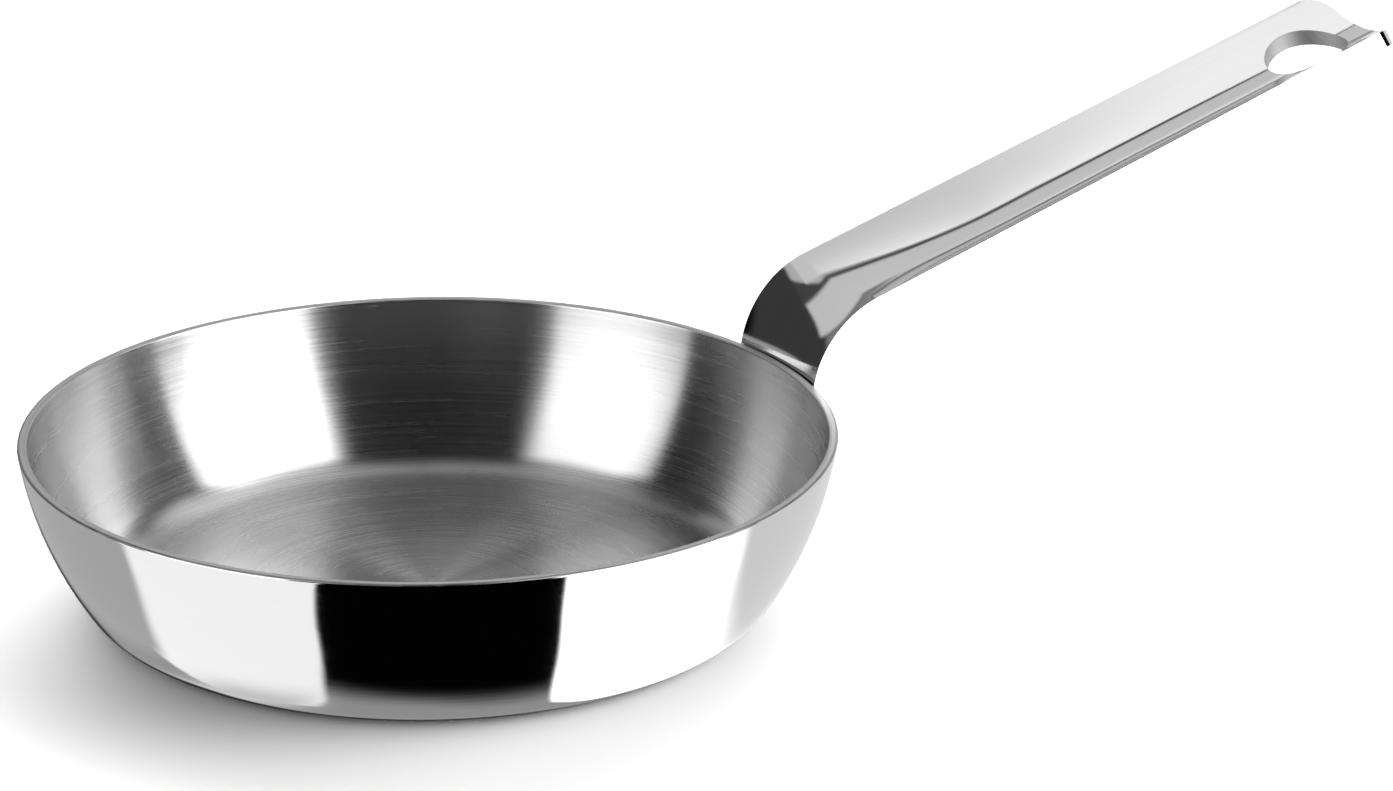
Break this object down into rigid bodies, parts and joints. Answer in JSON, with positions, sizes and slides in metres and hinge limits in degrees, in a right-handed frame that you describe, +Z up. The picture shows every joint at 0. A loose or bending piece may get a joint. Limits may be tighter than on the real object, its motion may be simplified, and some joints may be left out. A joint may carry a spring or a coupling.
{
  "type": "blini pan",
  "caption": "Small round clad steel frying pan with curved sides, a flat base and a long dished strip handle with a hanging hole.",
  "frame": {"origin": "centre of the flat base, on the surface the pan stands on", "axes": "+Z up along the pan's axis, +X along the handle away from the pan"},
  "size_m": [0.2261, 0.1198, 0.0653],
  "materials": {
    "outer_steel": "mirror polished stainless steel",
    "aluminium_core": "rolled, bare at the cut rim",
    "inner_steel": "satin stainless steel, brushed in circles",
    "handle_steel": "mirror polished stainless steel",
    "weld_steel": "fused stainless steel"
  },
  "bodies": {
    "root": {"outer_ply": "outer_steel", "core_ply": "aluminium_core", "inner_ply": "inner_steel", "handle": "handle_steel", "spot_weld_1": "weld_steel", "spot_weld_2": "weld_steel", "spot_weld_3": "weld_steel", "spot_weld_4": "weld_steel"}
  },
  "joints": []
}
